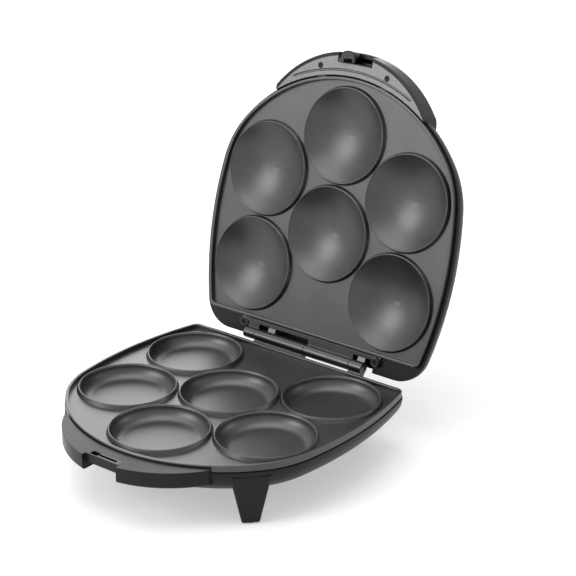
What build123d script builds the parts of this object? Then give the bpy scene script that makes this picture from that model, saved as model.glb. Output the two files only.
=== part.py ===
from build123d import *
import math
import os

# An electric arepa maker, open: a round-fronted lower half on four legs and a like upper half,
# joined by a barrel hinge along the straight rear edge. Millimetres, +X to the machine's right
# seen from the handle side, +Y towards the hinge, +Z up, origin on the table under the middle.
# Everything is drawn closed, about the middle cup's centre on the plane where the plates meet,
# and then set on the legs; what belongs to the lid is also turned open about the hinge.

os.makedirs("parts", exist_ok=True)

# Overall layout
rim_height = 60.0          # meeting plane of the two plates above the table
middle_cup_y = -19.8       # middle cup's place along Y, which centres the open machine
open_angle = 105.1         # how far the lid leans back on its stop
rim_gap = 0.3              # each plate's rim stays this far from the meeting plane
running_gap = 0.3          # air between pieces that pass each other
bore_gap = 0.02            # air round a pin or shank in a tight bore
turning_gap = 0.05         # air round a pin in a turning bore
hole_spare = 1.0           # a screw's blind hole is this much deeper than the screw
past = 1.0                 # cutting solids run this far past the surface that they open
far = 30.0                 # and this far past the machine's outside
level = 0.01               # how close to a height an edge lies to be picked there

# Cups
cup_radius = 45.0
cup_gap = 6.3              # between neighbouring cups
cup_pitch = 2 * cup_radius + cup_gap
lip_width = 1.5
lip_foot = 3.0
lip_drop = 0.5             # lip's top below the meeting plane
land_drop = 4.6            # land's depth below the meeting plane
plate_wall = 2.5
dish_depth = 13.0          # lower cups, flat-bottomed
dish_corner = 11.0
dish_draft = 0.6
dome_depth = 17.5          # upper cups, round

# Outline shared by plates and casings
side_land = 12.6           # land between the outer cups and the plate's edge
front_land = 10.4
rear_land = 8.35
half_width = cup_pitch * math.cos(math.radians(30)) + cup_radius + side_land
side_radius = 360.0
side_y = 3.0
front_radius = cup_pitch + cup_radius + front_land
plate_rear_y = cup_pitch / 2 + cup_radius + rear_land
plate_corner = 8.0
least_corner = 3.0         # roundest inner outlines keep this corner
shoulder_radius = 90.0
rim_width = 3.2
rim_round = 1.0
skirt_height = 6.0         # the part of the plate's edge that shows
locating_skirt = 5.0       # the stepped part that drops into the casing
locating_step = 2.3
locating_wall = 1.4

# Lower casing
casing_wall = 2.5
base_overhang = 0.8        # casing proud of the plate outline
base_rear_ledge = 5.0      # casing behind the plate, under the hinge
base_rear_y = plate_rear_y + base_rear_ledge
base_corner = 16.0
base_top = 7.3             # its top edge below the meeting plane
base_depth = 36.0
base_round = 15.0          # rounding along the bottom of its straight back
base_turn = 8.0            # below this its sides and front draw in
base_across = 42.0         # and over this width
base_mouth_step = 2.1
vent_count = 7
vent_pitch = 11.0
vent_length = 44.0
vent_width = 3.0

# Lower handle, a crescent moulded on the lower casing
base_handle_radius = 102.3
base_handle_reach = 25.6   # how far the handle stands out in front of the plate
base_handle_y = base_handle_radius - front_radius - base_handle_reach
base_handle_top = 2.5
base_handle_bottom = 18.0
base_handle_round = 3.0
base_handle_half = 86.0
handle_inner_gap = 0.9
notch_half = 20.0
latch_bar_reach = 19.3
latch_bar_y = -front_radius - latch_bar_reach
latch_bar_bottom = 11.0

# Upper casing and its handle
lid_overhang = 4.0
lid_rear_reach = 13.0      # casing behind the lower one's back, over the hinge
lid_rear_y = base_rear_y + lid_rear_reach
lid_corner = 32.0
lid_front_overhang = 2.3
lid_front_radius = front_radius + lid_front_overhang
lid_edge = 5.0             # its lower edge above the meeting plane
lid_height = 39.0
lid_round = 20.0
lid_turn = 6.0             # above this its sides and front draw in
lid_across = 60.0          # and over this width
bowl_swing = 80.0          # degrees of oval in each casing's slope
bowl_steps = 5
round_over = 0.3           # the straight backs' rounding starts and ends this far outside them
lid_mouth_gap = 0.6
lid_handle_radius = 108.5
lid_handle_reach = 24.3
lid_tip_y = -front_radius - lid_handle_reach
lid_handle_y = lid_tip_y + lid_handle_radius
lid_handle_depth = 24.0
lid_handle_round = 7.0
lid_handle_wall = 2.6
lid_handle_half = 88.0
lid_handle_root = 18.0     # how far its back runs in over the casing's slope
face_inner_gap = 1.2       # from the plate to the silver face
face_inner_radius = front_radius + face_inner_gap
face_seat = 0.6
face_thickness = 1.6
face_gap = 0.2
face_end = 1.0             # the silver face ends this far inside the handle's tips
face_boss_wall = 1.3
groove_in = 5.5            # from the face's inner edge to its groove
groove_radius = face_inner_radius + groove_in
groove_width = 1.7
groove_depth = 0.9
groove_half_angle = 26.0
face_screw_x = 39.2
face_screw_in = 9.89
face_screw_y = -math.sqrt((face_inner_radius + face_screw_in) ** 2 - face_screw_x**2)

# Hinge
hinge_behind = 9.85        # barrel axis behind the lower casing
hinge_y = base_rear_y + hinge_behind
hinge_drop = 0.85          # barrel axis below the meeting plane
barrel_radius = 5.75
pin_radius = 2.5
pin_length = 24.0
pin_inset = 1.0
cable_radius = 2.5
cable_hole = 3.3
cable_level = 14.6         # the cable's height above or below the meeting plane
cable_bend = 5.5
cable_end = 4.5            # cable's inner end in front of the plate's rear edge
cable_inner_y = plate_rear_y - cable_end
base_cable_x = -30.0
lid_cable_x = 28.0
barrel_left = -74.5
seam_left = -61.0
seam_right = 55.0
barrel_right = 70.0
seam_gap = 0.5
recess_half = 76.5         # half width of the recess in the upper casing's back
recess_wall_gap = 3.5      # from the plate to the recess
recess_front_y = plate_rear_y + recess_wall_gap
recess_top = 21.0
strip_thick = 3.2
strip_half = 74.0
strip_low = 19.5
strip_high = 8.5
arm_foot_out = 2.65
arm_foot_y = hinge_y + arm_foot_out
lid_strip_gap = 0.6
lid_strip_deep = 3.9
lid_strip_front_y = plate_rear_y + lid_strip_gap
lid_strip_back_y = lid_strip_front_y + lid_strip_deep
lid_ring_x = 80.5
lid_ring_out = 6.0         # screw rings behind the plate
lid_ring_y = plate_rear_y + lid_ring_out
lid_ring_radius = 4.4
lid_ring_low = -0.2
ear_thick = 2.0
stop_width = 9.0
stop_left_x = -48.0
stop_right_x = 62.0
stop_reach = 7.0
stop_bulge = 4.0
stop_inset = 1.0
arm_sink = 1.0             # arms and stops run this far into the barrel
cable_half_gap = 0.1       # the cable is drawn as two halves that turn against each other

# Latch
button_width = 19.0
button_left = -19.2
button_proud = 0.9         # button in front of the handle's tip
button_front_y = lid_tip_y - button_proud
button_top = 11.4
button_foot = 1.0
latch_travel = 18.0
pocket_deep = 10.4
pocket_back_y = lid_tip_y + pocket_deep
pocket_half = 19.5
pocket_top = 12.0
pocket_wall = 2.2
pocket_lip = 0.6           # the wall's thin edge that shows beside the silver face
button_back_gap = 0.4
button_back_y = pocket_back_y - button_back_gap
button_shoulder = 4.0      # the straight part behind the button's round front
button_edge = 1.5
stem_width = 6.0
stem_thick = 3.4
stem_in = 3.8
stem_y = pocket_back_y - stem_in
retainer_wide = 13.0
retainer_deep = 5.0
retainer_thick = 1.5
latch_screw_shank = 0.9
latch_screw_head = 2.0
latch_screw_head_high = 1.2
latch_screw_bite = 3.5
hook_in = 1.3
hook_y = pocket_back_y - hook_in
hook_thick = 1.8
hook_stem = 5.0
hook_toe_length = 6.5
hook_toe_width = 4.4
hook_toe_thick = 1.6
hook_x = -11.75
keeper_thick = 1.7
keeper_left = -17.2
keeper_right = 18.2
keeper_width = 7.6
keeper_slot_width = 2.8
keeper_slot_right = 13.5
keeper_pocket = 5.6
keeper_gap = 0.1
keeper_ledge = 1.0
keeper_entry_gap = 1.0

# Heater, clamps and tray under each plate
heater_radius = cup_pitch  # under the middles of the outer cups
heater_tube = 3.25
heater_end_angle = 58.0
cold_pin_radius = 1.6
cold_pin_length = 14.0
clamp_angles = (-120.0, -60.0, 0.0, 180.0)
clamp_thick = 1.2
clamp_width = 12.0
clamp_inner_reach = 4.3
clamp_outer_reach = 22.7
clamp_boss_reach = 17.7
clamp_inner = heater_radius - clamp_inner_reach
clamp_outer = heater_radius + clamp_outer_reach
clamp_boss_at = heater_radius + clamp_boss_reach
clamp_boss_radius = 3.6
tray_thick = 0.8
tray_inset = 20.0
tray_rear_inset = 13.0
tray_wall = 6.0
tray_gate_half = 45.0
tray_gate_deep = 35.5
tray_gate_y = plate_rear_y - tray_gate_deep
tray_post_gap = 1.5
hole_gap = 0.3

# Screws
small_shank = 1.5
small_head = 3.0
small_head_high = 2.0
small_length = 9.0
case_shank = 1.75
case_head = 3.4
case_head_high = 2.4
cross_width = 0.9
cross_length = 3.4
cross_depth = 0.8
face_shank = 1.6
face_head = 2.7
face_head_high = 0.9
face_length = 13.0
ring_head = 2.7
ring_head_high = 1.5
ring_sunk = 0.2

# Posts that carry the lower plate in its casing
post_radius = 5.0
post_top = 20.0
boss_radius = 4.5
post_recess = 6.5          # how deep the screw heads lie in the underside
post_bite = 8.0
post_angles = (0.0, 180.0, -60.0, -120.0)   # in the gaps between three cups
post_reach = cup_pitch / math.sqrt(3)
rear_post_x = 30.0
rear_post_in = 11.0
rear_post_y = plate_rear_y - rear_post_in

# Legs
leg_front_angle = -42.8
leg_proud = 0.6            # outer faces of the front legs beyond the plate
leg_front_radius = front_radius + leg_proud
leg_rear_x = 74.0
leg_rear_in = 1.0
leg_rear_y = base_rear_y - leg_rear_in
leg_width = 36.6
leg_foot_width = 16.0
leg_thick = 18.9
leg_foot_thick = 12.0
leg_lean = 3.8             # how far the outer face draws in towards the foot
leg_root = 12.0            # where the leg's drawn taper starts, below the meeting plane
leg_edge = 2.5
leg_screw_in = 10.5
leg_screw_bite = 12.0
leg_boss_high = 21.5
pad_radius = 4.0
pad_high = 2.0
pad_sunk = 1.2
pad_round = 0.6

# Lamps on the lid, cord inlet and electrical pieces
lens_x = 13.0
lens_y = -92.0
lens_radius = 4.2
lens_flange = 5.4
lens_flange_thick = 1.2
lens_proud = 1.6
lens_round = 1.3
board_half = 32.0
board_deep = 14.0
board_thick = 1.6
board_post_x = 27.0
board_post_radius = 2.6
board_screw_shank = 1.1
board_screw_head = 2.1
board_screw_head_high = 1.3
board_screw_length = 4.0
gland_drop = 26.5
gland_bore = 3.6
gland_neck = 4.6
gland_collar = 6.0
gland_out = 12.0
gland_in = 4.0
gland_collar_in = 3.0
thermostat_radius = 8.0
thermostat_high = 9.0
thermostat_in = 25.5
thermostat_y = plate_rear_y - thermostat_in
fuse_radius = 2.2
fuse_length = 14.0
fuse_in = 10.5
fuse_y = plate_rear_y - fuse_in
terminal_half = 17.0
terminal_deep = 14.0
terminal_high = 8.0
terminal_screw_bite = 2.0
wire_radius = 1.1
wire_bend = 1.5
wire_drop = 2.15           # the supply wires' level run below the heater's pins
wire_pin_in = 3.0          # they meet the pins this far in from the ends
wire_x = 12.0              # the two supply wires stand this far each side of the middle
wire_mid_x = 6.0           # and the thermostat's wires this far
lid_wire_run = 9.0
lid_wire_bend_y = cable_inner_y - lid_wire_run
lid_wire_top = 22.0

hinge_z = -hinge_drop
hinge_line = Axis((0, hinge_y, hinge_z), (1, 0, 0))
plate_under = -land_drop - plate_wall
lip_top = -lip_drop
lip_low = lip_top - lip_width / 2
skirt_foot = -rim_gap - skirt_height
cup_centres = [(0.0, 0.0)] + [
    (cup_pitch * math.cos(math.radians(a)), cup_pitch * math.sin(math.radians(a)))
    for a in (-90, -30, 30, 150, 210)
]
lid_inner_top = lid_height - casing_wall
base_floor = -base_depth + casing_wall
face_top = face_seat + face_thickness


def keep(name, shape, with_lid=False):
    """Sets a piece in its place on the open machine and writes it."""
    if isinstance(shape, (list, ShapeList)):
        shape = Compound(children=list(shape))
    if with_lid:
        shape = shape.rotate(hinge_line, -open_angle)
    shape = shape.moved(Location((0, middle_cup_y, rim_height)))
    export_step(shape, f"parts/{name}.step")


def rod(x, y, low, high, radius):
    """An upright cylinder from one height to another."""
    return Pos(x, y, (low + high) / 2) * Cylinder(radius, high - low)


def block(x0, x1, y0, y1, z0, z1):
    """A block between two corners."""
    return Pos((x0 + x1) / 2, (y0 + y1) / 2, (z0 + z1) / 2) * Box(x1 - x0, y1 - y0, z1 - z0)


def barrel(x0, x1, radius):
    """A cylinder on the hinge line."""
    return Pos((x0 + x1) / 2, hinge_y, hinge_z) * Rot(0, 90, 0) * Cylinder(radius, x1 - x0)


def prism(face, low, high):
    """A flat outline drawn up from one height to another."""
    return Pos(0, 0, low) * extrude(face, high - low)


def side_view(points, x0, x1):
    """An outline in Y and Z drawn along X."""
    face = Plane.YZ * make_face(Polyline(*points, close=True))
    return Pos(x0, 0, 0) * extrude(face, x1 - x0, dir=(1, 0, 0))


def across(x, z, y0, y1, radius):
    """A level cylinder along Y."""
    return Pos(x, (y0 + y1) / 2, z) * Rot(90, 0, 0) * Cylinder(radius, y1 - y0)


def polar(radius, angle):
    """The point at a radius and an angle in degrees."""
    return (radius * math.cos(math.radians(angle)), radius * math.sin(math.radians(angle)))


def flip(shape):
    """Turns a lower piece into the upper one that faces it."""
    return mirror(shape, Plane.XY)


def open_place(y, z):
    """Where a point of the closed lid's side view lies when the lid is open."""
    turn = math.radians(open_angle)
    across, up = y - hinge_y, z - hinge_z
    return (
        hinge_y + across * math.cos(turn) + up * math.sin(turn),
        hinge_z - across * math.sin(turn) + up * math.cos(turn),
    )


def plan(grow, front=front_radius, rear=plate_rear_y, corner=plate_corner):
    """The machine's outline seen from above, larger all round by grow."""
    side_x = half_width - side_radius
    big, small = side_radius + grow, front + grow
    reach = math.hypot(side_x, side_y)
    along = (small**2 - big**2 + reach**2) / (2 * reach)
    across = math.sqrt(small**2 - along**2)
    ux, uy = side_x / reach, side_y / reach
    shoulder = (along * ux + across * uy, along * uy - across * ux)
    if shoulder[1] > 0:
        shoulder = (along * ux - across * uy, along * uy + across * ux)
    back, side = rear + grow, half_width + grow
    back_x = side_x + math.sqrt(big**2 - (back - side_y) ** 2)
    left_shoulder = (-shoulder[0], shoulder[1])
    face = make_face([
        ThreePointArc((back_x, back), (side, side_y), shoulder),
        ThreePointArc(shoulder, (0, -small), left_shoulder),
        ThreePointArc(left_shoulder, (-side, side_y), (-back_x, back)),
        Line((-back_x, back), (back_x, back)),
    ])
    face = fillet(face.vertices().sort_by(Axis.Y)[:2], shoulder_radius + grow)
    return fillet(face.vertices().sort_by(Axis.Y)[-2:], max(corner + grow, least_corner))


def base_plan(inset, wall):
    """The lower casing's outline, drawn in by inset on the sides and front and by wall at the back."""
    grow = base_overhang - inset
    return plan(grow, rear=base_rear_y - wall - grow, corner=base_corner - wall - grow)


def lid_plan(inset, wall):
    """The upper casing's outline, drawn in by inset on the sides and front and by wall at the back."""
    grow, front = lid_overhang - inset, lid_front_radius - lid_overhang
    return plan(grow, front=front, rear=lid_rear_y - wall - grow, corner=lid_corner - wall - grow)


def crescent(y, radius, inner, half):
    """The handle's outline: a disc less the machine's round front, cut off at its tips."""
    shape = Pos(0, y) * Circle(radius) - Circle(inner)
    return shape & Pos(0, -inner) * Rectangle(2 * half, inner)


def dish(thick, top):
    """Half section of a lower cup from a height to its middle: round corner, flat bottom."""
    corner = dish_corner + thick
    corner_x = cup_radius - dish_draft - dish_corner
    corner_z = -dish_depth + dish_corner
    rise = top - corner_z
    start_x = corner_x + math.sqrt(corner**2 - min(rise, 0.0) ** 2)
    start = (start_x, min(top, corner_z))
    last = (corner_x, corner_z - corner)
    swing = math.atan2(start[1] - corner_z, start[0] - corner_x)
    half = (swing - math.pi / 2) / 2
    mid = (corner_x + corner * math.cos(half), corner_z + corner * math.sin(half))
    edges = [ThreePointArc(start, mid, last), Line(last, (0, last[1]))]
    if rise > 0:
        edges.insert(0, Line((cup_radius, top), start))
    return edges


def dome(thick, top):
    """Half section of an upper cup from a height to its middle: one round arc."""
    depth = dome_depth + lip_low
    radius = (cup_radius**2 + depth**2) / (2 * depth)
    centre_z = radius - dome_depth
    reach = radius + thick
    start = (math.sqrt(reach**2 - (centre_z - top) ** 2), top)
    half = math.asin(start[0] / reach) / 2
    mid = (reach * math.sin(half), centre_z - reach * math.cos(half))
    return [ThreePointArc(start, mid, (0, centre_z - reach))]


def turned(edges):
    """A solid turned about the upright axis from a closed half section."""
    return revolve(Plane.XZ * make_face(edges), Axis.Z)


def cup_wall(section):
    """A cup with its raised lip, filled: the hollow is cut out after."""
    outer = section(plate_wall, plate_under)
    start, bottom = outer[0] @ 0, outer[-1] @ 1
    foot_x, lip_x = cup_radius + lip_foot, cup_radius + lip_width
    lip_mid = cup_radius + lip_width / 2
    return turned(outer + [
        Line((start.X, start.Y), (foot_x, plate_under)),
        Line((foot_x, plate_under), (foot_x, -land_drop)),
        Line((foot_x, -land_drop), (lip_x, lip_low)),
        ThreePointArc((lip_x, lip_low), (lip_mid, lip_top), (cup_radius, lip_low)),
        Line((cup_radius, lip_low), (0, lip_low)),
        Line((0, lip_low), (0, bottom.Y)),
    ])


def cup_hollow(section):
    """The space inside a cup, up past its lip."""
    inner = section(0, lip_low)
    bottom = inner[-1] @ 1
    above = lip_top + rim_width
    return turned(inner + [
        Line((0, bottom.Y), (0, above)),
        Line((0, above), (cup_radius, above)),
        Line((cup_radius, above), (cup_radius, lip_low)),
    ])


def screw(x, y, seat, length, head, high, shank):
    """A cross-head screw, its head below the seat height and its shank above."""
    body = rod(x, y, seat - high, seat, head) + rod(x, y, seat, seat + length, shank)
    for wide, deep in ((cross_width, cross_length), (cross_length, cross_width)):
        body -= Pos(x, y, seat - high) * Box(wide, deep, 2 * cross_depth)
    return body


def tube(points, bend, radius):
    """A round wire along straight runs with rounded corners."""
    path = FilletPolyline(*points, radius=bend) if len(points) > 2 else Line(*points)
    return sweep(Plane(origin=path @ 0, z_dir=path % 0) * Circle(radius), path=path)


# Cooking plates
def cooking_plate(section):
    """A cast plate: recessed land, raised rim, six lipped cups and a stepped skirt."""
    rim_top = -rim_gap
    body = prism(plan(0), skirt_foot, rim_top)
    body -= prism(plan(-rim_width), -land_drop, rim_top + past)
    rims = body.edges().filter_by_position(Axis.Z, rim_top - level, rim_top + level)
    body = fillet(rims, rim_round)
    foot = skirt_foot - locating_skirt
    body += prism(plan(-locating_step), foot, (plate_under - land_drop) / 2)
    body -= prism(plan(-locating_step - locating_wall), foot - past, plate_under)
    wall, hollow = cup_wall(section), cup_hollow(section)
    for x, y in cup_centres:
        body += Pos(x, y) * wall
    for x, y in cup_centres:
        body -= Pos(x, y) * hollow
    return body


def clamp_bosses(body, tube_foot):
    """Adds the bosses that the heater's clamps screw to."""
    for angle in clamp_angles:
        x, y = polar(clamp_boss_at, angle)
        body += rod(x, y, tube_foot, plate_under, clamp_boss_radius)
        body -= rod(x, y, tube_foot - past, tube_foot + small_length, small_shank + bore_gap)
    return body


dish_foot = -dish_depth - plate_wall
dome_foot = -dome_depth - plate_wall
post_places = [polar(post_reach, angle) for angle in post_angles]
post_places += [(rear_post_x, rear_post_y), (-rear_post_x, rear_post_y)]

base_plate = clamp_bosses(cooking_plate(dish), dish_foot - 2 * heater_tube)
for x, y in post_places:
    base_plate += rod(x, y, -post_top, plate_under, boss_radius)
    base_plate -= rod(x, y, -post_top - past, -post_top + post_bite, case_shank + bore_gap)
keep("base_plate", base_plate)

face_screws = [(-face_screw_x, face_screw_y), (face_screw_x, face_screw_y)]
ring_places = [(-lid_ring_x, lid_ring_y), (lid_ring_x, lid_ring_y)]
face_ear_low = face_top + running_gap / 2
rear_ear_low = lid_edge - ear_thick

lid_plate = flip(clamp_bosses(cooking_plate(dome), dome_foot - 2 * heater_tube))
ears = []
for x, y in face_screws:
    reach, angle = math.hypot(x, y), math.degrees(math.atan2(y, x))
    start = front_radius - rim_width / 2
    tab = Pos((start + reach) / 2, 0) * Rectangle(reach - start, 2 * lid_ring_radius)
    tab = Rot(0, 0, angle) * tab + Pos(x, y) * Circle(lid_ring_radius)
    ears.append((x, y, tab, face_ear_low))
for x, y in ring_places:
    start = plate_rear_y - rim_width / 2
    tab = Pos(x, (start + y) / 2) * Rectangle(2 * lid_ring_radius, y - start)
    ears.append((x, y, tab + Pos(x, y) * Circle(lid_ring_radius), rear_ear_low))
for x, y, tab, low in ears:
    lid_plate += prism(tab, low, low + ear_thick)
    lid_plate -= rod(x, y, low - past, low + ear_thick + past, face_shank + running_gap)
keep("lid_plate", lid_plate, with_lid=True)


# Heaters, their clamps and the trays
def heater(cup_foot):
    """A horseshoe heating tube that touches the cups' bottoms, with a pin at each end."""
    height = cup_foot - heater_tube
    start, end = polar(heater_radius, heater_end_angle), polar(heater_radius, 180 - heater_end_angle)
    arc = Pos(0, 0, height) * ThreePointArc(start, (0, -heater_radius), end)
    body = sweep(Plane(origin=arc @ 0, z_dir=arc % 0) * Circle(heater_tube), path=arc)
    for point, way in ((arc @ 0, -(arc % 0)), (arc @ 1, arc % 1)):
        pin = Line(point, point + way * cold_pin_length)
        body += sweep(Plane(origin=point, z_dir=way) * Circle(cold_pin_radius), path=pin)
    return body


def clamps(cup_foot):
    """Four steel strips under the heating tube, one screw each."""
    top = cup_foot - 2 * heater_tube
    strips = []
    for angle in clamp_angles:
        strip = block(clamp_inner, clamp_outer, -clamp_width / 2, clamp_width / 2, top - clamp_thick, top)
        strip -= rod(clamp_boss_at, 0, top - clamp_thick - past, top + past, small_shank + hole_gap)
        strips.append(Rot(0, 0, angle) * strip)
    return strips


def tray(cup_foot, posts):
    """A sheet-metal tray under the heater, cut away at the back for the electrical pieces."""
    top = cup_foot - 2 * heater_tube - clamp_thick
    low = top - tray_thick
    edge, under, over = top + tray_wall, low - past, top + tray_wall + past
    rear = plate_rear_y - tray_rear_inset + tray_inset
    body = prism(plan(-tray_inset, rear=rear), low, edge)
    body -= prism(plan(-tray_inset - tray_thick, rear=rear), top, over)
    body -= block(-tray_gate_half, tray_gate_half, tray_gate_y, plate_rear_y, under, over)
    for angle in clamp_angles:
        x, y = polar(clamp_boss_at, angle)
        body -= rod(x, y, under, over, small_shank + hole_gap)
    for x, y in posts:
        body -= rod(x, y, under, over, post_radius + tray_post_gap)
    return body


def clamp_screws(cup_foot):
    """The screws through tray and clamps into the plate's bosses."""
    seat = cup_foot - 2 * heater_tube - clamp_thick - tray_thick
    length = small_length + clamp_thick + tray_thick - hole_spare
    places = [polar(clamp_boss_at, angle) for angle in clamp_angles]
    return [screw(x, y, seat, length, small_head, small_head_high, small_shank) for x, y in places]


keep("base_heater", heater(dish_foot))
keep("base_heater_clamps", clamps(dish_foot))
keep("base_tray", tray(dish_foot, post_places))
keep("base_tray_screws", clamp_screws(dish_foot))
keep("lid_heater", flip(heater(dome_foot)), with_lid=True)
keep("lid_heater_clamps", [flip(c) for c in clamps(dome_foot)], with_lid=True)
keep("lid_tray", flip(tray(dome_foot, [])), with_lid=True)
keep("lid_tray_screws", [flip(s) for s in clamp_screws(dome_foot)], with_lid=True)


# Lower casing, with its crescent handle
def base_handle_form(inset, upper_inner, lower_inner):
    """The handle's solid, smaller all round by inset, with the notch that the latch works in."""
    top, low = -base_handle_top - inset, -base_handle_bottom + inset
    radius, half = base_handle_radius - inset, base_handle_half - inset
    upper = prism(crescent(base_handle_y, radius, upper_inner, half), -base_top - inset - past, top)
    lower = prism(crescent(base_handle_y, radius, lower_inner, half), low, -base_top - inset)
    edges = lower.edges().filter_by_position(Axis.Z, low - level, low + level).sort_by(Axis.Y)[:1]
    form = upper + fillet(edges, base_handle_round)
    notch = notch_half + inset
    form -= block(-notch, notch, latch_bar_y - far, latch_bar_y + inset, low - past, top + past)
    form -= block(
        -notch, notch, latch_bar_y - past, -front_radius - past, low - past, inset - latch_bar_bottom
    )
    return form


def bowl(outline, edge, turn, end, across, rear, radius, wall):
    """
    A casing's body from its edge to its flat end, thinner by wall all round. Its sides and front
    are straight up to the turn and draw in from there along an oval. Its back is straight, and
    rounded at the end.
    """
    way = math.copysign(1, end - turn)
    end -= way * wall
    sections = []
    for n in range(bowl_steps + 1):
        swing = math.radians(bowl_swing * n / bowl_steps)
        inset = across - (across - wall) * math.cos(swing)
        height = turn + (end - turn) * math.sin(swing) / math.sin(math.radians(bowl_swing))
        sections.append(Pos(0, 0, height) * outline(inset, wall))
    body = loft(sections)
    reach, beyond = half_width + far, end + way * past
    if (turn - edge) * way > 0:
        body += prism(outline(wall, wall), min(edge, turn), max(edge, turn))
    else:
        low, high = sorted((edge, edge - way * far))
        body -= block(-reach, reach, -2 * reach, 2 * reach, low, high)
    radius -= wall
    back, middle = rear - wall - radius, end - way * radius
    bulge = radius * math.sqrt(0.5)
    start, stop = (back, end + way * round_over), (rear - wall + round_over, middle)
    outside = make_face([
        ThreePointArc(start, (back + bulge, middle + way * bulge), stop),
        Polyline(stop, (rear + past, middle), (rear + past, beyond), (back, beyond), start),
    ])
    return body - Pos(-reach, 0, 0) * extrude(Plane.YZ * outside, 2 * reach, dir=(1, 0, 0))


def base_bowl(edge, wall):
    """The lower casing's body, or with a wall the space in it."""
    return bowl(base_plan, edge, -base_turn, -base_depth, base_across, base_rear_y, base_round, wall)


def lid_bowl(edge, wall):
    """The upper casing's body, or with a wall the space in it."""
    return bowl(lid_plan, edge, lid_turn, lid_height, lid_across, lid_rear_y, lid_round, wall)


base_outer = base_bowl(-base_top, 0)
base_outer += base_handle_form(0, front_radius + handle_inner_gap, front_radius - 3 * casing_wall)
base_roof = -base_top - casing_wall
base_casing = base_outer - base_bowl(base_roof, casing_wall)
base_casing -= base_handle_form(
    casing_wall, front_radius + handle_inner_gap + casing_wall, front_radius - 4 * casing_wall
)
base_casing -= prism(plan(-base_mouth_step), base_roof - past, -base_top + past)

# keeper's seat and the pocket below it for the latch's hook
keeper_foot = -base_handle_top - keeper_thick
keeper_front = hook_y - keeper_width / 2
keeper_back = hook_y + keeper_width / 2
over_keeper = -base_handle_top + past
base_casing -= block(keeper_left, keeper_right, keeper_front, keeper_back, keeper_foot, over_keeper)
toe_room = hook_toe_width / 2 + 2 * running_gap
base_casing -= block(
    keeper_left + keeper_ledge, keeper_right - keeper_ledge, hook_y - toe_room, hook_y + toe_room,
    keeper_foot - keeper_pocket, over_keeper,
)

# posts under the plate, leg bosses, air slots and the cord's hole
below = -base_depth - past
for x, y in post_places:
    base_casing += rod(x, y, -base_depth, -post_top, post_radius) & base_outer
    base_casing -= rod(x, y, below, -post_top + past, case_shank + running_gap)
    base_casing -= rod(x, y, below, -base_depth + post_recess, case_head + running_gap)
leg_places = [
    ("front_right", polar(leg_front_radius, leg_front_angle), leg_front_angle),
    ("front_left", polar(leg_front_radius, 180 - leg_front_angle), 180 - leg_front_angle),
    ("rear_right", (leg_rear_x, leg_rear_y), 90.0),
    ("rear_left", (-leg_rear_x, leg_rear_y), 90.0),
]


def leg_screw_place(place, turn):
    """A leg's screw, inwards from the middle of its outer face."""
    inward = polar(leg_screw_in, turn)
    return (place[0] - inward[0], place[1] - inward[1])


leg_screws = [leg_screw_place(place, turn) for name, place, turn in leg_places]
for x, y in leg_screws:
    base_casing += rod(x, y, -base_depth, -leg_boss_high, post_radius) & base_outer
    base_casing -= rod(x, y, below, -leg_boss_high + past, case_shank + running_gap)
    base_casing -= rod(x, y, -leg_boss_high, -leg_boss_high + case_head_high + running_gap,
                       case_head + running_gap)
for n in range(vent_count):
    x = (n - (vent_count - 1) / 2) * vent_pitch
    slot = SlotOverall(vent_length, vent_width, rotation=90)
    base_casing -= prism(Pos(x, 0) * slot, below, base_floor + past)
gland_z = -gland_drop
inner_rear_y = base_rear_y - casing_wall
gland_inner_y = inner_rear_y - gland_in
base_casing -= across(0, gland_z, gland_inner_y, base_rear_y + past, gland_neck + bore_gap)
cable_path_base = [
    (base_cable_x, cable_inner_y, -cable_level), (base_cable_x, hinge_y, -cable_level),
    (base_cable_x, hinge_y, hinge_z), (0, hinge_y, hinge_z),
]
cable_tunnel = tube(cable_path_base, cable_bend, cable_hole)
base_casing -= cable_tunnel

# holes for the hinge strip's screws through the rear wall and the terminal block's screw
terminal_hole = base_floor - terminal_screw_bite
base_casing -= rod(0, thermostat_y, terminal_hole, base_floor + past, small_shank + bore_gap)
strip_screws = [-62.0, -12.0, 12.0, 62.0]
strip_screw_z = -(strip_low + strip_high) / 2
for x in strip_screws:
    base_casing -= across(
        x, strip_screw_z, inner_rear_y - past, base_rear_y + past, small_shank + hole_gap)
keep("base_casing", base_casing)

# Keeper, the steel plate with the keyhole slot that the latch locks under
keeper = block(
    keeper_left + keeper_gap, keeper_right - keeper_gap, keeper_front + keeper_gap,
    keeper_back - keeper_gap, keeper_foot, -base_handle_top,
)
entry_half = hook_toe_length / 2 + keeper_entry_gap
keeper -= block(
    hook_x - entry_half, hook_x + entry_half, hook_y - toe_room, hook_y + toe_room,
    keeper_foot - past, over_keeper,
)
keeper -= block(
    hook_x, keeper_slot_right, hook_y - keeper_slot_width / 2, hook_y + keeper_slot_width / 2,
    keeper_foot - past, over_keeper,
)
keep("latch_keeper", keeper)

# Screws from below that hold the lower plate
case_seat = -base_depth + post_recess
case_length = -post_top - case_seat + post_bite - hole_spare
keep("base_plate_screws", [
    screw(x, y, case_seat, case_length, case_head, case_head_high, case_shank) for x, y in post_places
])


# Legs, their screws and pads
def leg():
    """A tapered blade, drawn at the origin with its outer face towards +X."""
    foot = -rim_height + pad_high - pad_sunk
    root = Pos(-leg_thick / 2, 0, -leg_root) * Rectangle(leg_thick, leg_width)
    tip = Pos(-leg_lean - leg_foot_thick / 2, 0, foot) * Rectangle(leg_foot_thick, leg_foot_width)
    body = loft([root, tip])
    return fillet(body.edges().sort_by(Axis.Z)[:-4], leg_edge)


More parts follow.
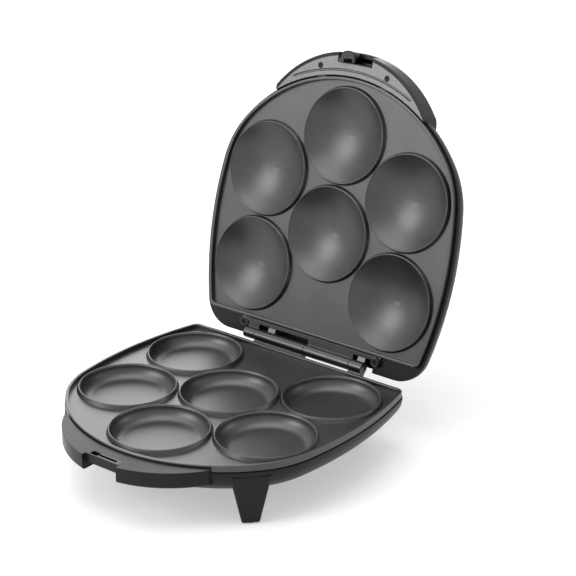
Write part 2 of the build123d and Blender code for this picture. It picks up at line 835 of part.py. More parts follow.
pad_x = -leg_lean - leg_foot_thick / 2
leg_solid = leg()
pad_seat = -rim_height + pad_high
pad = rod(pad_x, 0, -rim_height, pad_seat, pad_radius)
pad = fillet(pad.edges().sort_by(Axis.Z)[:1], pad_round)
for name, place, turn in leg_places:
    spot = Pos(*place) * Rot(0, 0, turn)
    x, y = leg_screw_place(place, turn)
    foot = spot * leg_solid - base_outer
    foot -= spot * rod(pad_x, 0, -rim_height - past, pad_seat, pad_radius + bore_gap)
    foot -= rod(x, y, -base_depth - leg_screw_bite, -leg_boss_high, case_shank + bore_gap)
    keep(f"leg_{name}", foot)
    keep(f"foot_pad_{name}", spot * pad)
leg_screw_length = base_depth - leg_boss_high + leg_screw_bite - hole_spare
keep("leg_screws", [
    flip(screw(x, y, leg_boss_high, leg_screw_length, case_head, case_head_high, case_shank))
    for x, y in leg_screws
])

# Upper casing, with its crescent handle
handle_root = lid_front_radius - lid_handle_root
handle = prism(
    crescent(lid_handle_y, lid_handle_radius, handle_root, lid_handle_half), lid_edge, lid_handle_depth)
handle_edges = handle.edges().filter_by_position(
    Axis.Z, lid_handle_depth - level, lid_handle_depth + level).sort_by(Axis.Y)[:1]
handle_edge = crescent(lid_handle_y, lid_handle_radius, face_inner_radius, lid_handle_half)
lid_outer = lid_bowl(lid_edge, 0) + fillet(handle_edges, lid_handle_round)
lid_outer += prism(handle_edge, face_seat, lid_edge)
recess = block(
    -recess_half, recess_half, recess_front_y, lid_rear_y + far, lid_edge - past, recess_top)
pocket_front = pocket_back_y - far
lid_outer -= recess
lid_outer -= block(-pocket_half, pocket_half, pocket_front, pocket_back_y, face_seat - past, pocket_top)

lid_hollow = lid_bowl(lid_edge + casing_wall, casing_wall)
lid_hollow -= block(
    -recess_half - casing_wall, recess_half + casing_wall, recess_front_y - casing_wall,
    lid_rear_y + far, 0, recess_top + casing_wall,
)
inner_face = crescent(
    lid_handle_y, lid_handle_radius - lid_handle_wall, face_inner_radius + lid_handle_wall,
    lid_handle_half - lid_handle_wall,
)
handle_roof = lid_handle_depth - lid_handle_wall
inner_root = crescent(
    lid_handle_y, lid_handle_radius - lid_handle_wall, handle_root - casing_wall,
    lid_handle_half - lid_handle_wall,
)
handle_hollow = prism(inner_face, face_seat - past, handle_roof)
handle_hollow += prism(inner_root, lid_edge + casing_wall, handle_roof)
pocket_side = pocket_half + pocket_wall
handle_hollow -= block(
    -pocket_side, pocket_side, pocket_front, pocket_back_y + pocket_wall, 0, pocket_top + pocket_wall)
face_outline = crescent(
    lid_handle_y, lid_handle_radius - lid_handle_wall, face_inner_radius, lid_handle_half
)
lip_back = pocket_back_y + pocket_lip
lip_side = pocket_half + pocket_lip
pocket_area = Pos(0, lip_back - far) * Rectangle(2 * lip_side, 2 * far)
lid_casing = lid_outer - lid_hollow - handle_hollow
lid_casing -= prism(face_outline - pocket_area, face_seat - past, face_top)
lid_casing -= prism(plan(lid_mouth_gap), lid_edge - past, lid_edge + casing_wall + past)
for x, y in face_screws:
    lid_casing += rod(x, y, face_ear_low + ear_thick, handle_roof + past, face_head + face_boss_wall)
for x, y in ring_places:
    lid_casing += rod(x, y, lid_edge, lid_height, lid_ring_radius) & lid_outer
lid_casing -= recess
for x, y in face_screws + ring_places:
    lid_casing -= rod(x, y, face_seat, lid_edge + face_length, face_shank + bore_gap)
for x, y, tab, low in ears[:2]:
    lid_casing -= prism(offset(tab, running_gap), face_seat, low + ear_thick)

# slot for the latch's stem, holes for the lamps, posts for their board, tunnel for the cable
button_mid = button_left + button_width / 2
slot_left = button_mid - stem_width / 2 - running_gap
slot_right = button_mid + latch_travel + stem_width / 2 + running_gap
slot_half = stem_thick / 2 + running_gap
lid_casing -= block(
    slot_left, slot_right, stem_y - slot_half, stem_y + slot_half, pocket_top - past,
    pocket_top + pocket_wall + past,
)
board_top = lid_inner_top - lens_flange_thick
board_foot = board_top - board_thick
board_bite = board_foot + board_screw_length
for side in (-1, 1):
    x = side * lens_x
    lid_casing -= rod(x, lens_y, lid_inner_top - past, lid_height + past, lens_radius + bore_gap)
    x = side * board_post_x
    lid_casing += rod(x, lens_y, board_top, lid_inner_top + past, board_post_radius)
    lid_casing -= rod(x, lens_y, board_top - past, board_bite, board_screw_shank + bore_gap)
cable_path_lid = [
    (0, hinge_y, hinge_z), (lid_cable_x, hinge_y, hinge_z),
    (lid_cable_x, hinge_y, cable_level), (lid_cable_x, cable_inner_y, cable_level),
]
lid_tunnel = tube(cable_path_lid, cable_bend, cable_hole)
lid_casing -= lid_tunnel
keep("lid_casing", lid_casing, with_lid=True)

# Silver face of the upper handle, with its groove and screw holes
face_radius = lid_handle_radius - lid_handle_wall - face_gap
face_fit = crescent(lid_handle_y, face_radius, face_inner_radius, lid_handle_half - face_end)
notch_area = Pos(0, lip_back + face_gap - far) * Rectangle(2 * (lip_side + face_gap), 2 * far)
handle_face = prism(face_fit - notch_area, face_seat, face_top)
ring = Circle(groove_radius + groove_width / 2) - Circle(groove_radius - groove_width / 2)
groove_low = groove_radius * math.cos(math.radians(groove_half_angle))
ring &= Pos(0, -groove_low - groove_radius / 2) * Rectangle(2 * groove_radius, groove_radius)
handle_face -= prism(ring, face_seat - past, face_seat + groove_depth)
for x, y in face_screws:
    handle_face -= rod(x, y, face_seat - past, face_seat + face_head_high, face_head + hole_gap)
    handle_face -= rod(x, y, face_seat - past, face_top + past, face_shank + hole_gap)
keep("lid_handle_face", handle_face, with_lid=True)
keep("lid_handle_screws", [
    screw(x, y, face_seat + face_head_high, face_length, face_head, face_head_high, face_shank)
    for x, y in face_screws
], with_lid=True)

# Latch: a thumb button with a stem into the handle and a hook for the keeper
shoulder_y = button_back_y - button_shoulder
round_depth = shoulder_y - button_front_y
button_round = Pos(button_mid, shoulder_y) * Ellipse(button_width / 2, round_depth)
button_round &= Pos(button_mid, shoulder_y - round_depth / 2) * Rectangle(button_width, round_depth)
button_back = Pos(button_mid, shoulder_y + button_shoulder / 2) * Rectangle(button_width, button_shoulder)
button = prism(button_round + button_back, button_foot, button_top)
button = fillet(button.edges().filter_by(GeomType.ELLIPSE), button_edge)
stem_end = pocket_top + pocket_wall + running_gap
button += block(
    button_mid - stem_width / 2, button_mid + stem_width / 2, stem_y - stem_thick / 2,
    stem_y + stem_thick / 2, button_top - past, stem_end,
)
toe_top = keeper_foot - running_gap
button += block(
    hook_x - hook_stem / 2, hook_x + hook_stem / 2, hook_y - hook_thick / 2, hook_y + hook_thick / 2,
    toe_top - hook_toe_thick, button_foot + past,
)
button += block(
    hook_x - hook_toe_length / 2, hook_x + hook_toe_length / 2, hook_y - hook_toe_width / 2,
    hook_y + hook_toe_width / 2, toe_top - hook_toe_thick, toe_top,
)
hole_end = stem_end - latch_screw_bite - hole_spare
button -= rod(button_mid, stem_y, hole_end, stem_end + past, latch_screw_shank + bore_gap)
keep("latch_button", button, with_lid=True)
retainer_top = stem_end + retainer_thick
retainer = block(
    button_mid - retainer_wide / 2, button_mid + retainer_wide / 2, stem_y - retainer_deep / 2,
    stem_y + retainer_deep / 2, stem_end, retainer_top,
)
retainer -= rod(
    button_mid, stem_y, stem_end - past, retainer_top + past, latch_screw_shank + turning_gap)
keep("latch_retainer", retainer, with_lid=True)
keep("latch_screw", flip(screw(
    button_mid, stem_y, -retainer_top, retainer_thick + latch_screw_bite, latch_screw_head,
    latch_screw_head_high, latch_screw_shank,
)), with_lid=True)

# Hinge: a strip with barrels on each half, two pins, and the cable that runs through
left_pin = (barrel_left + pin_inset, barrel_left + pin_inset + pin_length)
right_pin = (barrel_right - pin_inset - pin_length, barrel_right - pin_inset)
half_seam = seam_gap / 2
base_ranges = [(seam_left + half_seam, -half_seam), (seam_right + half_seam, barrel_right)]
lid_ranges = [(barrel_left, seam_left - half_seam), (half_seam, seam_right - half_seam)]
strip_back = base_rear_y + strip_thick
base_hinge = block(-strip_half, strip_half, base_rear_y, strip_back, -strip_low, -strip_high)
arm = [
    (base_rear_y, -strip_high), (base_rear_y, -strip_low), (strip_back, -strip_low),
    (arm_foot_y, hinge_z - barrel_radius + arm_sink), (hinge_y, hinge_z),
]
stop_face = recess_front_y + running_gap
stop_start = lid_edge + stop_inset
stop = [
    open_place(stop_face, stop_start), open_place(stop_face, stop_start + stop_reach),
    (arm_foot_y + stop_bulge, hinge_z - barrel_radius), (strip_back, -strip_low),
    (hinge_y, hinge_z - barrel_radius / 2), (hinge_y + barrel_radius - arm_sink, hinge_z + arm_sink),
]
for x0, x1 in base_ranges:
    base_hinge += side_view(arm, x0, x1) + barrel(x0, x1, barrel_radius)
for x in (stop_left_x, stop_right_x):
    base_hinge += side_view(stop, x - stop_width / 2, x + stop_width / 2)
base_hinge -= barrel(seam_left, left_pin[1], pin_radius + bore_gap)
base_hinge -= barrel(seam_right, barrel_right + past, pin_radius + bore_gap)
base_hinge -= cable_tunnel
for x in strip_screws:
    base_hinge -= across(
        x, strip_screw_z, base_rear_y - past, strip_back + past, small_shank + bore_gap)
keep("base_hinge_strip", base_hinge)

lid_hinge = block(
    -lid_ring_x, lid_ring_x, lid_strip_front_y, lid_strip_back_y, face_seat, lid_edge)
ring_seat = lid_ring_low + ring_head_high + ring_sunk
for x, y in ring_places:
    lid_hinge += rod(x, y, lid_ring_low, rear_ear_low, lid_ring_radius)
for x, y, tab, low in ears[2:]:
    lid_hinge -= prism(offset(tab, running_gap), low, lid_edge + past)
for x0, x1 in lid_ranges:
    lid_hinge += block(x0, x1, lid_strip_front_y, hinge_y, face_seat, hinge_z + barrel_radius)
    lid_hinge += barrel(x0, x1, barrel_radius)
lid_hinge -= barrel(barrel_left - past, seam_left, pin_radius + turning_gap)
lid_hinge -= barrel(right_pin[0], seam_right, pin_radius + turning_gap)
lid_hinge -= lid_tunnel
for x, y in ring_places:
    lid_hinge -= rod(x, y, lid_ring_low - past, ring_seat, ring_head + hole_gap)
    lid_hinge -= rod(x, y, lid_ring_low - past, rear_ear_low + past, face_shank + hole_gap)
keep("lid_hinge_strip", lid_hinge, with_lid=True)
keep("lid_hinge_screws", [
    screw(x, y, ring_seat, face_length, ring_head, ring_head_high, face_shank) for x, y in ring_places
], with_lid=True)
keep("base_hinge_screws", [
    Pos(x, inner_rear_y, strip_screw_z) * Rot(-90, 0, 0)
    * screw(0, 0, 0, casing_wall + strip_thick, small_head, small_head_high, small_shank)
    for x in strip_screws
])
keep("hinge_pin_left", barrel(*left_pin, pin_radius))
keep("hinge_pin_right", barrel(*right_pin, pin_radius))
cable_path_base[-1] = (-cable_half_gap, hinge_y, hinge_z)
cable_path_lid[0] = (cable_half_gap, hinge_y, hinge_z)
keep("base_hinge_cable", tube(cable_path_base, cable_bend, cable_radius))
keep("lid_hinge_cable", tube(cable_path_lid, cable_bend, cable_radius), with_lid=True)

# Lamps on the lid: two lenses and the board below them
for name, side in (("power", -1), ("ready", 1)):
    lens = rod(side * lens_x, lens_y, lid_inner_top, lid_height + lens_proud, lens_radius)
    lens = fillet(lens.edges().sort_by(Axis.Z)[-1:], lens_round)
    lens += rod(side * lens_x, lens_y, board_top, lid_inner_top, lens_flange)
    keep(f"{name}_lamp_lens", lens, with_lid=True)
board = block(
    -board_half, board_half, lens_y - board_deep / 2, lens_y + board_deep / 2, board_foot, board_top)
board_places = [(side * board_post_x, lens_y) for side in (-1, 1)]
for x, y in board_places:
    board -= rod(x, y, board_foot - past, board_top + past, board_screw_shank + bore_gap)
keep("lamp_board", board, with_lid=True)
keep("lamp_board_screws", [
    screw(x, y, board_foot, board_screw_length, board_screw_head, board_screw_head_high, board_screw_shank)
    for x, y in board_places
], with_lid=True)

# Cord gland in the rear wall, thermostats, thermal fuse, terminal block and inner wires
gland_outer_y = base_rear_y + gland_out
collar_start = base_rear_y - gland_collar_in
gland = across(0, gland_z, gland_inner_y, gland_outer_y, gland_neck)
gland += across(0, gland_z, collar_start, gland_outer_y, gland_collar) - base_outer
gland -= across(0, gland_z, gland_inner_y - past, gland_outer_y + past, gland_bore)
keep("cord_gland", gland)
thermostat = rod(0, thermostat_y, plate_under - thermostat_high, plate_under, thermostat_radius)
keep("base_thermostat", thermostat)
keep("lid_thermostat", flip(thermostat), with_lid=True)
fuse = Pos(0, fuse_y, plate_under - fuse_radius) * Rot(0, 90, 0) * Cylinder(fuse_radius, fuse_length)
keep("thermal_fuse", fuse)
terminal_top = base_floor + terminal_high
terminal = block(
    -terminal_half, terminal_half, thermostat_y - terminal_deep / 2, thermostat_y + terminal_deep / 2,
    base_floor, terminal_top,
)
terminal -= rod(0, thermostat_y, terminal_hole, terminal_top + past, small_shank + bore_gap)
keep("terminal_block", terminal)
terminal_length = terminal_high + terminal_screw_bite
keep("terminal_screw", flip(screw(
    0, thermostat_y, -terminal_top, terminal_length, small_head, small_head_high, small_shank)))
thermostat_foot = plate_under - thermostat_high


def pin_place(cup_foot):
    """Where a supply wire meets the right heater pin from below."""
    x, y = polar(heater_radius, heater_end_angle)
    ax, ay = polar(cold_pin_length - wire_pin_in, heater_end_angle + 90)
    return (x + ax, y + ay, cup_foot - heater_tube - cold_pin_radius)


px, py, pz = pin_place(dish_foot)
wire_z = pz - wire_drop
keep("base_wires", [
    tube([(wire_mid_x, thermostat_y, terminal_top), (wire_mid_x, thermostat_y, thermostat_foot)],
         0, wire_radius),
    tube([(-wire_x, thermostat_y, terminal_top), (-wire_x, thermostat_y, wire_z),
          (-px, py, wire_z), (-px, py, pz)], wire_bend, wire_radius),
    tube([(wire_x, thermostat_y, terminal_top), (wire_x, thermostat_y, wire_z),
          (px, py, wire_z), (px, py, pz)], wire_bend, wire_radius),
])
keep("lid_wires", [
    tube([(lid_cable_x, cable_inner_y, cable_level), (lid_cable_x, lid_wire_bend_y, cable_level),
          (wire_mid_x, thermostat_y, lid_wire_top), (wire_mid_x, thermostat_y, -thermostat_foot)],
         wire_bend, wire_radius),
], with_lid=True)
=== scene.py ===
import math

import bpy
from mathutils import Matrix, Vector

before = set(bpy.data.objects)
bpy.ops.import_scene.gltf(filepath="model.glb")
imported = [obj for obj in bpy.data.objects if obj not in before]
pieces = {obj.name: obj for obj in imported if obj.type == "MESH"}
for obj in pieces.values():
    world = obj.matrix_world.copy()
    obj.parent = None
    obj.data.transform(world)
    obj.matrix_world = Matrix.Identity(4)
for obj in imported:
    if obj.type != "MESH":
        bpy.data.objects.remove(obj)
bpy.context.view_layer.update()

scene = bpy.context.scene
scene.view_settings.view_transform = "Standard"


# The camera: it stands in front and to the right of the open machine, a little above it, and
# looks past the middle cup of the lower plate to a point above and right of it.
middle_cup = Vector((0.0, -0.0198, 0.06))
camera_turn, camera_rise = math.radians(38.308), math.radians(22.341)
camera_distance = 1.72697
aim_right, aim_up = 0.055026, 0.094595
film_width, focal_length = 36.0, 115.85

level = math.cos(camera_rise)
towards_camera = Vector((
    math.sin(camera_turn) * level, -math.cos(camera_turn) * level, math.sin(camera_rise)))
picture_right = Vector((math.cos(camera_turn), math.sin(camera_turn), 0.0))
picture_up = towards_camera.cross(picture_right)
aim = middle_cup + picture_right * aim_right + picture_up * aim_up

camera = bpy.data.objects.new("camera", bpy.data.cameras.new("camera"))
camera.data.sensor_width = film_width
camera.data.lens = focal_length
turned = Matrix((picture_right, picture_up, towards_camera)).transposed().to_4x4()
camera.matrix_world = Matrix.Translation(aim + towards_camera * camera_distance) @ turned
scene.collection.objects.link(camera)
scene.camera = camera


# The studio: a white surround, a pale floor that keeps the machine's shadow, a wide soft lamp
# overhead, and soft panels in front on the left, behind on the left and behind on the right.
class Value:
    """A value or colour on its way through a shader; sums on values are written as sums."""

    def __init__(self, finish, socket):
        self.finish, self.socket = finish, socket

    def sum(self, operation, *others):
        return self.finish.node("Math", {"operation": operation}, dict(enumerate(others)))

    def __add__(self, other):
        return self.sum("ADD", self, other)

    def __sub__(self, other):
        return self.sum("SUBTRACT", self, other)

    def __mul__(self, other):
        return self.sum("MULTIPLY", self, other)

    def __rsub__(self, other):
        return self.sum("SUBTRACT", other, self)

    def __pow__(self, other):
        return self.sum("POWER", self, other)

    __radd__, __rmul__ = __add__, __mul__

    def between(self, low, high, start=0.0, end=1.0):
        """The value's place from low to high, held within start and end."""
        return self.finish.node("MapRange", {"clamp": True}, {
            "Value": self, "From Min": low, "From Max": high, "To Min": start, "To Max": end})


class Finish:
    """A finish in the making: a material or the surround, and one way to add any node to it."""

    def __init__(self, owner, **fixed):
        owner.use_nodes = True
        self.owner, self.tree = owner, owner.node_tree
        self.shader = self.tree.nodes.get("Principled BSDF")
        for name, value in fixed.items():
            self.shader.inputs[name.replace("_", " ")].default_value = value

    def feed(self, socket, value):
        if isinstance(value, Value):
            self.tree.links.new(value.socket, socket)
        else:
            socket.default_value = value

    def node(self, kind, settings=None, inputs=None, output=0):
        made = self.tree.nodes.new("ShaderNode" + kind)
        for name, value in (settings or {}).items():
            setattr(made, name, value)
        for name, value in (inputs or {}).items():
            self.feed(made.inputs[name], value)
        return Value(self, made.outputs[output])

    def surface(self, **inputs):
        for name, value in inputs.items():
            self.feed(self.shader.inputs[name.replace("_", " ")], value)


def seen_directly(finish):
    """1 for rays from the camera, and for those that a mirror or a lens sends on."""
    path = finish.node("LightPath").socket.node
    seen = Value(finish, path.outputs["Is Camera Ray"]) + Value(finish, path.outputs["Is Glossy Ray"])
    return (seen + Value(finish, path.outputs["Is Transmission Ray"])).between(0.0, 1.0)


surround_light = 0.55
world = bpy.data.worlds.new("surround")
scene.world = world
surround = Finish(world)
surround_shader = world.node_tree.nodes["Background"]
surround_shader.inputs["Color"].default_value = (1.0, 1.0, 1.0, 1.0)
surround.feed(
    surround_shader.inputs["Strength"], seen_directly(surround).between(0, 1, surround_light, 1.0))


def soft_panel(name, place, target, width, height, power):
    """A soft rectangular lamp that faces a point."""
    lamp = bpy.data.lights.new(name, "AREA")
    lamp.shape = "RECTANGLE"
    lamp.size, lamp.size_y = width, height
    lamp.energy = power
    panel = bpy.data.objects.new(name, lamp)
    panel.location = place
    panel.rotation_euler = (Vector(place) - Vector(target)).to_track_quat("Z", "Y").to_euler()
    scene.collection.objects.link(panel)


soft_panel("overhead", (-0.3, -0.2, 2.2), (0.0, 0.0, 0.1), 2.2, 2.2, 34.0)
soft_panel("front_left", (-1.3, -2.1, 1.45), (0.0, 0.05, 0.2), 1.4, 1.6, 42.0)
soft_panel("rear_left", (-1.6, 1.9, 1.1), (0.0, 0.0, 0.1), 1.6, 1.4, 22.0)
soft_panel("right_rim", (1.9, 1.5, 0.7), (0.1, 0.0, 0.2), 0.6, 1.2, 7.0)

floor_half, floor_grey, floor_glow = 6.0, 0.64, 0.40
floor_mesh = bpy.data.meshes.new("floor")
corners = [(-1, -1), (1, -1), (1, 1), (-1, 1)]
floor_mesh.from_pydata([(x * floor_half, y * floor_half, 0.0) for x, y in corners], [], [(0, 1, 2, 3)])
floor = bpy.data.objects.new("floor", floor_mesh)
scene.collection.objects.link(floor)
floor_finish = Finish(
    bpy.data.materials.new("pale_floor"),
    Base_Color=(floor_grey, floor_grey, floor_grey, 1.0),
    Roughness=0.9,
)
floor_finish.surface(
    Emission_Color=(1.0, 1.0, 1.0, 1.0),
    Emission_Strength=seen_directly(floor_finish) * floor_glow,
)
floor_mesh.materials.append(floor_finish.owner)


# Casings and legs: black plastic moulded in a finely sparked tool, so they have an even satin
# grain, slightly cloudy gloss, and small roundings on their edges that catch the light.
def grain(finish, size, detail=2.0):
    """Fine noise whose blotches are about the given size in metres."""
    place = finish.node("TexCoord", output=3)
    return finish.node("TexNoise", None, {"Vector": place, "Scale": 1.0 / size, "Detail": detail})


def rounded(finish, radius):
    """The surface's direction, with its edges rounded a little."""
    return finish.node("Bevel", {"samples": 6}, {"Radius": radius})


def bumped(finish, height, depth, direction=None):
    """A surface direction with small relief, depth in metres."""
    inputs = {"Height": height, "Distance": depth, "Strength": 1.0}
    if direction:
        inputs["Normal"] = direction
    return finish.node("Bump", None, inputs)


def tinted(finish, share, first, second):
    """A colour between two, by a share from 0 to 1."""
    mix = finish.node("Mix", {"data_type": "RGBA"}).socket.node
    finish.feed(mix.inputs[0], share)
    finish.feed(mix.inputs[6], (*first, 1.0))
    finish.feed(mix.inputs[7], (*second, 1.0))
    return Value(finish, mix.outputs[2])


def dress(finish, *names):
    """Gives a finish to nodes of the frame."""
    for name in names:
        mesh = pieces[name].data
        mesh.materials.clear()
        mesh.materials.append(finish.owner)


casing_black, casing_grey = (0.006, 0.0065, 0.007), (0.010, 0.0105, 0.0115)
casing = Finish(bpy.data.materials.new("black_moulding"), Specular_IOR_Level=0.2)
sparks = grain(casing, 0.0006, 3.0)
clouds = grain(casing, 0.05)
casing.surface(
    Base_Color=tinted(casing, clouds.between(0.3, 0.7), casing_black, casing_grey),
    Roughness=clouds.between(0.3, 0.7, 0.30, 0.38) + sparks * 0.06,
    Normal=bumped(casing, sparks, 0.00002, rounded(casing, 0.0007)),
)
dress(casing, "base_casing", "lid_casing",
      "leg_front_left", "leg_front_right", "leg_rear_left", "leg_rear_right")


# Hinge strips: metal under black paint, screwed to the back of each casing. The paint is a little
# smoother and glossier than the casings.
paint_black, paint_grey = (0.007, 0.0075, 0.008), (0.011, 0.0115, 0.012)
paint = Finish(bpy.data.materials.new("black_paint"), Specular_IOR_Level=0.6)
runs = grain(paint, 0.03)
paint.surface(
    Base_Color=tinted(paint, runs.between(0.3, 0.7), paint_black, paint_grey),
    Roughness=runs.between(0.3, 0.7, 0.22, 0.30),
    Normal=rounded(paint, 0.0006),
)
dress(paint, "base_hinge_strip", "lid_hinge_strip")


# Cooking plates: cast aluminium, blasted and sprayed with a dark nonstick coat, which dries to a
# satin skin with a faint pebble and a metallic glint.
def steadied(finish, direction):
    """The given direction, or the flat face's own where the mesh's smooth one leans away from it.

    The mesh's smooth direction is askew at the deepest point of each cup in the lid.
    """
    geometry = finish.node("NewGeometry").socket.node
    smooth = Value(finish, geometry.outputs["Normal"])
    flat = Value(finish, geometry.outputs["True Normal"])
    lean = finish.node("VectorMath", {"operation": "DOT_PRODUCT"}, {0: smooth, 1: flat}, "Value")
    mix = finish.node("Mix", {"data_type": "VECTOR"}).socket.node
    for socket, value in ((0, lean.between(0.987, 0.996)), (4, flat), (5, direction)):
        finish.feed(mix.inputs[socket], value)
    return Value(finish, mix.outputs[1])


coat_dark, coat_light = (0.048, 0.049, 0.051), (0.070, 0.071, 0.074)
coat = Finish(
    bpy.data.materials.new("nonstick_coat"),
    Metallic=0.9,
    Coat_Weight=0.45,
    Coat_Roughness=0.34,
)
pebble = grain(coat, 0.0009)
flakes = grain(coat, 0.00035, 1.0)
spray = grain(coat, 0.03, 3.0)
coat.surface(
    Base_Color=tinted(coat, spray.between(0.3, 0.7) * 0.7 + flakes * 0.3, coat_dark, coat_light),
    Roughness=spray.between(0.3, 0.7, 0.38, 0.43) + flakes * 0.06,
    Normal=bumped(coat, pebble, 0.000015, steadied(coat, rounded(coat, 0.0004))),
)
dress(coat, "base_plate", "lid_plate")


# Silver face of the upper handle: plastic with fine metallic flakes, screwed on from below. Painted
# # shade darkens its colour: dark lines along its groove and edges, and in the corners round its
# screws.
hinge_from_cup = Vector((0.0, 0.11635, -0.00085))
lid_open = math.radians(105.1)
groove_radius, groove_half, groove_end = 0.1584, 0.00085, 0.0690
face_inner_radius, face_outer_radius, face_outer_back = 0.1529, 0.1057, 0.0675


def crevice_shade(finish, reach, darkest, lightest):
    """A mask for painted shade: 1 in the open, and falling to 0 in corners and grooves within a reach
    in metres.
    """
    unshaded_share = finish.node("AmbientOcclusion", {"samples": 8}, {"Distance": reach}, 1)
    return unshaded_share.between(darkest, lightest)


def on_closed_lid(finish):
    """X and Y in metres from the middle cup, as they are when the lid is shut."""
    moved = hinge_from_cup - Matrix.Rotation(lid_open, 3, "X") @ (middle_cup + hinge_from_cup)
    place = finish.node("TexCoord", output=3)
    swing = (lid_open, 0.0, 0.0)
    shut = finish.node("Mapping", None, {"Vector": place, "Location": moved, "Rotation": swing})
    parts = finish.node("SeparateXYZ", None, {"Vector": shut}).socket.node
    return Value(finish, parts.outputs[0]), Value(finish, parts.outputs[1])


def away(value):
    """A value's distance from zero."""
    return value.sum("ABSOLUTE", value)


# The dark colour is the dark of the flakes, and also the painted shade in the lines and corners.
face_shade_and_flake_dark, face_silver = (0.006, 0.006, 0.006), (0.21, 0.21, 0.212)
face = Finish(bpy.data.materials.new("silver_face"), Metallic=0.45)
face_flakes = grain(face, 0.0005)
face_x, face_y = on_closed_lid(face)
from_middle = (face_x * face_x + face_y * face_y) ** 0.5
from_outer_centre = (face_x * face_x + (face_y + face_outer_back) ** 2.0) ** 0.5
# Painted shade: dark lines along the groove's walls and at the face's inner and outer edges.
beside_groove = away(away(from_middle - groove_radius) - groove_half).between(0.00025, 0.0005)
past_groove = away(face_x).between(groove_end, groove_end + 0.0004)
groove_shade_lines = (1.0 - beside_groove) * (1.0 - past_groove)
inner_shade_line = 1.0 - (from_middle - face_inner_radius).between(0.0004, 0.0007)
outer_shade_line = (from_outer_centre - face_outer_radius).between(-0.0010, -0.0006)
edge_shade_lines = inner_shade_line.sum("MAXIMUM", inner_shade_line, outer_shade_line)
face_shade_lines = groove_shade_lines.sum("MAXIMUM", groove_shade_lines, edge_shade_lines)
# Painted shade from the occlusion mask darkens the silver in corners and grooves.
face_unshaded = crevice_shade(face, 0.0016, 0.35, 0.85) * (1.0 - face_shade_lines)
silver_share = face_unshaded * face_flakes.between(0.35, 0.65, 0.3, 1.0)
face.surface(
    Base_Color=tinted(face, silver_share, face_shade_and_flake_dark, face_silver),
    Roughness=face_flakes.between(0.3, 0.7, 0.30, 0.46),
    Normal=bumped(face, face_flakes, 0.00002, rounded(face, 0.0004)),
)
dress(face, "lid_handle_face")


# Latch button: glossy black plastic, with its hook moulded on. It slides in the upper handle, and
# a small sheet retainer and a screw hold it from inside.
button = Finish(
    bpy.data.materials.new("gloss_black"),
    Base_Color=(0.004, 0.004, 0.005, 1.0),
    Specular_IOR_Level=0.15,
)
smears = grain(button, 0.004, 3.0)
button.surface(
    Roughness=smears.between(0.35, 0.7, 0.05, 0.12),
    Normal=rounded(button, 0.0008),
)
dress(button, "latch_button")


# Screws, pins, clamps, trays, heaters and the keeper: steel, plated, rolled or blackened, with the
# fine lines that drawing and rolling leave.
line_width = 0.0002


def steel(name, colour, dull, line_length, *names):
    """A steel finish with fine lines along X, and the nodes that have it."""
    finish = Finish(bpy.data.materials.new(name), Metallic=1.0)
    place = finish.node("TexCoord", output=3)
    stretch = (line_width / line_length, 1.0, 1.0)
    drawn = finish.node("Mapping", None, {"Vector": place, "Scale": stretch})
    lines = finish.node("TexNoise", None, {"Vector": drawn, "Scale": 1.0 / line_width, "Detail": 2.0})
    stain = grain(finish, 0.003)
    finish.surface(
        Base_Color=tinted(finish, stain.between(0.35, 0.7), colour, tuple(c * 0.8 for c in colour)),
        Roughness=lines.between(0.3, 0.7, dull - 0.06, dull + 0.08),
        Normal=bumped(finish, lines, 0.000008, rounded(finish, 0.0003)),
    )
    dress(finish, *names)


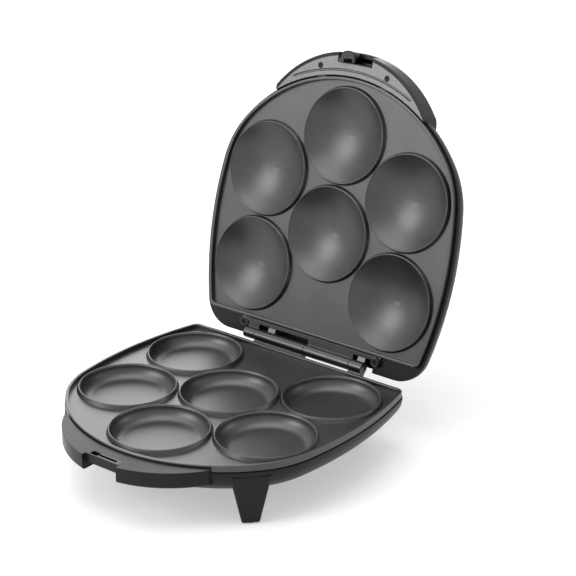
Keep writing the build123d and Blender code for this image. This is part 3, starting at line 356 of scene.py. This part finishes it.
steel("dark_screws", (0.022, 0.022, 0.024), 0.35, 0.0004, "lid_handle_screws", "lid_hinge_screws")
steel("plated_screws", (0.45, 0.45, 0.46), 0.30, 0.0004,
      "base_hinge_screws", "base_plate_screws", "base_tray_screws", "lid_tray_screws", "leg_screws",
      "lamp_board_screws", "terminal_screw", "latch_screw", "hinge_pin_left", "hinge_pin_right")
steel("blued_keeper", (0.035, 0.035, 0.038), 0.32, 0.004, "latch_keeper")
steel("rolled_sheet", (0.52, 0.52, 0.53), 0.34, 0.004,
      "latch_retainer", "base_heater_clamps", "lid_heater_clamps")
steel("heater_tube", (0.16, 0.14, 0.13), 0.5, 0.004, "base_heater", "lid_heater")
steel("bright_tray", (0.75, 0.75, 0.76), 0.25, 0.01, "base_tray", "lid_tray")


# Rubber pads pressed in under the legs, and the gland in the rear wall that the mains lead goes
# through: black moulded rubber with a dull skin.
rubber = Finish(bpy.data.materials.new("black_rubber"), Base_Color=(0.015, 0.015, 0.015, 1.0))
skin = grain(rubber, 0.0008, 3.0)
rubber.surface(
    Roughness=skin.between(0.3, 0.7, 0.65, 0.85),
    Normal=bumped(rubber, skin, 0.00004, rounded(rubber, 0.0004)),
)
dress(rubber, "foot_pad_front_left", "foot_pad_front_right", "foot_pad_rear_left",
      "foot_pad_rear_right", "cord_gland")


# Lamp lenses on the back of the lid: small moulded domes of clear plastic, red for power and green
# for ready, each held by its flange between the casing and the board inside.
def lens(name, colour):
    """A tinted clear plastic lens with faint moulding waves."""
    finish = Finish(bpy.data.materials.new(name + "_plastic"), Base_Color=(*colour, 1.0),
                    Transmission_Weight=0.5)
    waves = grain(finish, 0.002, 1.0)
    finish.surface(
        Roughness=waves.between(0.3, 0.7, 0.08, 0.16),
        Normal=bumped(finish, waves, 0.00003),
    )
    dress(finish, name)


lens("power_lamp_lens", (0.55, 0.03, 0.02))
lens("ready_lamp_lens", (0.05, 0.40, 0.08))


# Pieces inside the casings: thermostats, fuse and terminal block in glazed ceramic, sleeved wires,
# the cable through the hinge, and the lamp board.
def inner(name, colour, dull, *names):
    """A plain finish with a little unevenness, for pieces inside."""
    finish = Finish(bpy.data.materials.new(name))
    mottle = grain(finish, 0.003, 3.0)
    finish.surface(
        Base_Color=tinted(finish, mottle.between(0.3, 0.7), colour, tuple(c * 0.8 for c in colour)),
        Roughness=mottle.between(0.3, 0.7, dull - 0.08, dull + 0.08),
    )
    dress(finish, *names)


inner("glazed_ceramic", (0.78, 0.76, 0.70), 0.3, "base_thermostat", "lid_thermostat", "thermal_fuse",
      "terminal_block")
inner("sleeving", (0.05, 0.05, 0.05), 0.6,
      "base_hinge_cable", "lid_hinge_cable", "base_wires", "lid_wires")
inner("board", (0.25, 0.20, 0.10), 0.5, "lamp_board")
